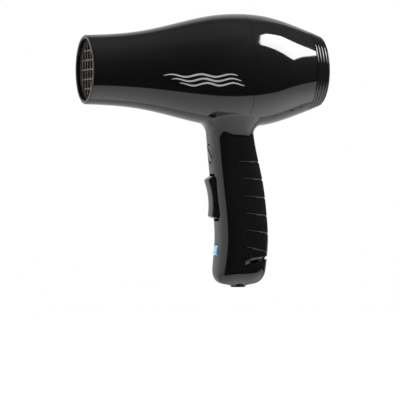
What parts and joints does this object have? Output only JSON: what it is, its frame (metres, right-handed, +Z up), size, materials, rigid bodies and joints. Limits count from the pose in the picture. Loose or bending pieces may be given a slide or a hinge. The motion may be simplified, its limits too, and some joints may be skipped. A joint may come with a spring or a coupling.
{
  "type": "hair dryer",
  "caption": "Compact pistol-grip hair dryer with a tapering barrel, outlet grille, rocker switch, cool-shot button and rear filter cap.",
  "frame": {"origin": "on the floor plane, under the middle of the barrel's length, on the plane of symmetry", "axes": "+X along the barrel from the outlet to the rear cap, +Z up from the handle's end to the barrel, +Y across"},
  "size_m": [0.172, 0.0796, 0.1918],
  "materials": {
    "gloss_black": "glossy black moulded ABS",
    "black_plastic": "satin black moulded nylon",
    "black_rubber": "matte black rubber",
    "blue_plastic": "light blue translucent plastic",
    "grille_metal": "dull warm grey metal",
    "steel": "plain steel",
    "brass": "plain brass",
    "copper": "copper",
    "nichrome": "oxidised resistance wire",
    "mica": "pressed mica sheet",
    "grey_plastic": "grey moulded plastic",
    "magnet": "dark sintered ferrite",
    "board": "phenolic circuit board",
    "wire_red": "red cable insulation",
    "wire_white": "white cable insulation"
  },
  "bodies": {
    "housing": {"front_housing": "gloss_black", "rear_housing": "gloss_black", "handle_back": "gloss_black", "grille_frame": "black_plastic", "outlet_grille": "grille_metal", "heat_shield": "mica", "mica_board_upright": "mica", "mica_board_flat": "mica", "heater_coil": "nichrome", "thermostat_base": "grey_plastic", "thermostat_blade": "brass", "thermal_fuse": "steel", "fan_duct": "black_plastic", "duct_screw_1": "steel", "duct_screw_2": "steel", "duct_screw_3": "steel", "motor_can": "steel", "motor_end_bell": "black_plastic", "bearing_front": "brass", "bearing_rear": "brass", "magnet_upper": "magnet", "magnet_lower": "magnet", "rectifier_board": "board", "diode_1": "black_plastic", "diode_2": "black_plastic", "diode_3": "black_plastic", "diode_4": "black_plastic", "rocker_pin": "steel", "rocker_switch_body": "grey_plastic", "switch_terminal_1": "brass", "switch_terminal_2": "brass", "switch_terminal_3": "brass", "selector_body": "grey_plastic", "cool_shot_spring": "steel", "cool_shot_switch": "grey_plastic", "handle_screw_1": "steel", "handle_screw_2": "steel", "cord_gland": "black_rubber", "cord_clamp": "black_plastic", "clamp_screw_1": "steel", "clamp_screw_2": "steel", "suppression_capacitor": "grey_plastic", "neutral_lead": "wire_white", "live_lead": "wire_red"},
    "rocker": {"rocker_button": "gloss_black"},
    "cool_shot": {"cool_shot_button": "blue_plastic"},
    "dial": {"voltage_dial": "gloss_black"},
    "rotor": {"motor_shaft": "steel", "armature": "copper", "commutator": "copper", "impeller": "black_plastic"},
    "filter_cap": {"cap_ring": "gloss_black", "inlet_grille": "black_plastic", "filter_screen": "grille_metal"}
  },
  "joints": [
    {"name": "rocker_tilt", "type": "hinge", "parent": "housing", "child": "rocker", "pos_m": [0.01327, 0, 0.0636], "axis": [0, 1, 0], "range_deg": [-7, 7]},
    {"name": "cool_shot_press", "type": "slide", "parent": "housing", "child": "cool_shot", "axis": [0.9958, 0, -0.0915], "range_m": [0, 0.0016], "stiffness_N_per_m": 900, "springref_m": -0.001, "deforming": ["cool_shot_spring"]},
    {"name": "voltage_dial_turn", "type": "hinge", "parent": "housing", "child": "dial", "pos_m": [0.00495, 0, 0.0936], "axis": [0.9963, 0, 0.0857], "range_deg": [0, 90]},
    {"name": "fan_spin", "type": "hinge", "parent": "housing", "child": "rotor", "pos_m": [0, 0, 0.152], "axis": [1, 0, 0], "continuous": true},
    {"name": "filter_cap_pull", "type": "slide", "parent": "housing", "child": "filter_cap", "axis": [1, 0, 0], "range_m": [0, 0.03]}
  ]
}
